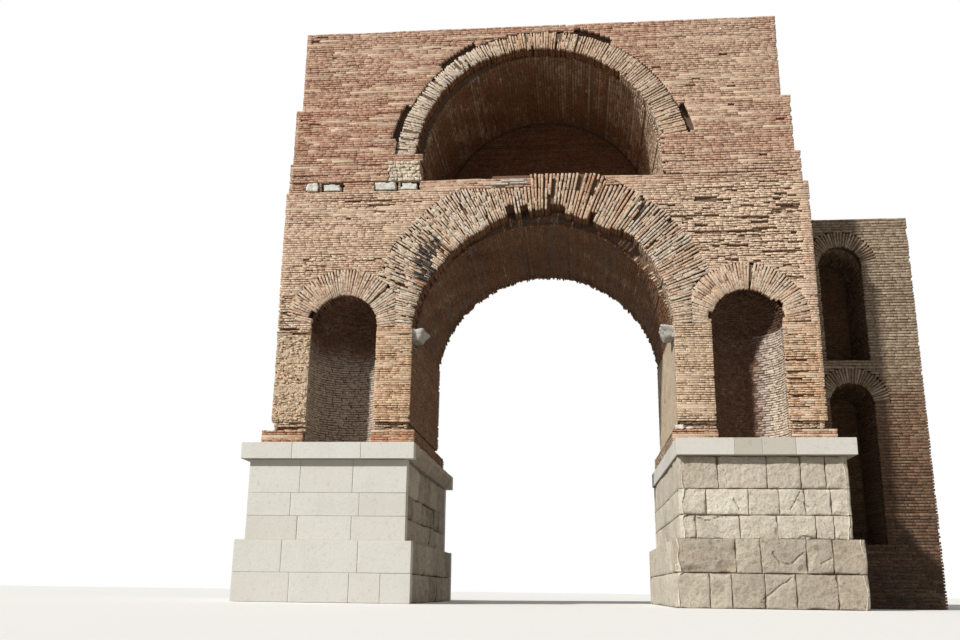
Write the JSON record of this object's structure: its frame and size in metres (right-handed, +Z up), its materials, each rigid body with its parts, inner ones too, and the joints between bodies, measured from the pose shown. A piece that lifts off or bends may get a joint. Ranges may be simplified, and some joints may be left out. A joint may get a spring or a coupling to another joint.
{
  "type": "triumphal arch",
  "caption": "Ruined brick triumphal arch on limestone pedestals, with a vaulted passage, half-round niches, a vaulted attic recess and a wing wall.",
  "frame": {"origin": "middle of the whole outline at ground level; the arch's own axis lies 1.345 m towards -X, because the wing wall reaches out on the right only", "axes": "+Z up, -Y towards the front, +X to the right of someone who faces the front"},
  "size_m": [16.51, 7.3, 14.91],
  "materials": {
    "new_limestone": "smooth sawn",
    "old_limestone": "weathered and rounded",
    "facing_brick": "worn brick courses with lime mortar",
    "rough_brick": "eroded brick courses",
    "arch_brick": "long radial bricks, ragged",
    "vault_brick": "dusty vault brick",
    "marble": "broken and weathered"
  },
  "bodies": {
    "root": {"left_plinth": "new_limestone", "right_plinth": "old_limestone", "left_die": "new_limestone", "right_die": "old_limestone", "left_cap": "new_limestone", "right_cap": "old_limestone", "left_brick_foot": "facing_brick", "right_brick_foot": "facing_brick", "left_pier": "facing_brick", "right_pier": "facing_brick", "left_niche_ring_front": "arch_brick", "right_niche_ring_front": "arch_brick", "left_niche_ring_back": "arch_brick", "right_niche_ring_back": "arch_brick", "main_ring_front": "arch_brick", "main_ring_back": "arch_brick", "main_vault": "vault_brick", "left_spandrel": "facing_brick", "right_spandrel": "rough_brick", "left_ledge_band": "facing_brick", "right_ledge_band": "facing_brick", "recess_floor": "facing_brick", "left_string_band": "facing_brick", "right_string_band": "facing_brick", "left_attic_wall": "facing_brick", "right_attic_wall": "facing_brick", "attic_top_wall": "facing_brick", "recess_ring_front": "arch_brick", "recess_ring_back": "arch_brick", "recess_vault": "vault_brick", "recess_back_wall": "vault_brick", "springer_block": "marble", "ledge_blocks": "marble", "left_impost_block": "marble", "right_impost_block": "marble", "wing_lower_wall": "rough_brick", "wing_upper_wall": "rough_brick", "wing_lower_ring": "arch_brick", "wing_upper_ring": "arch_brick", "wing_back_wall": "vault_brick"}
  },
  "joints": []
}
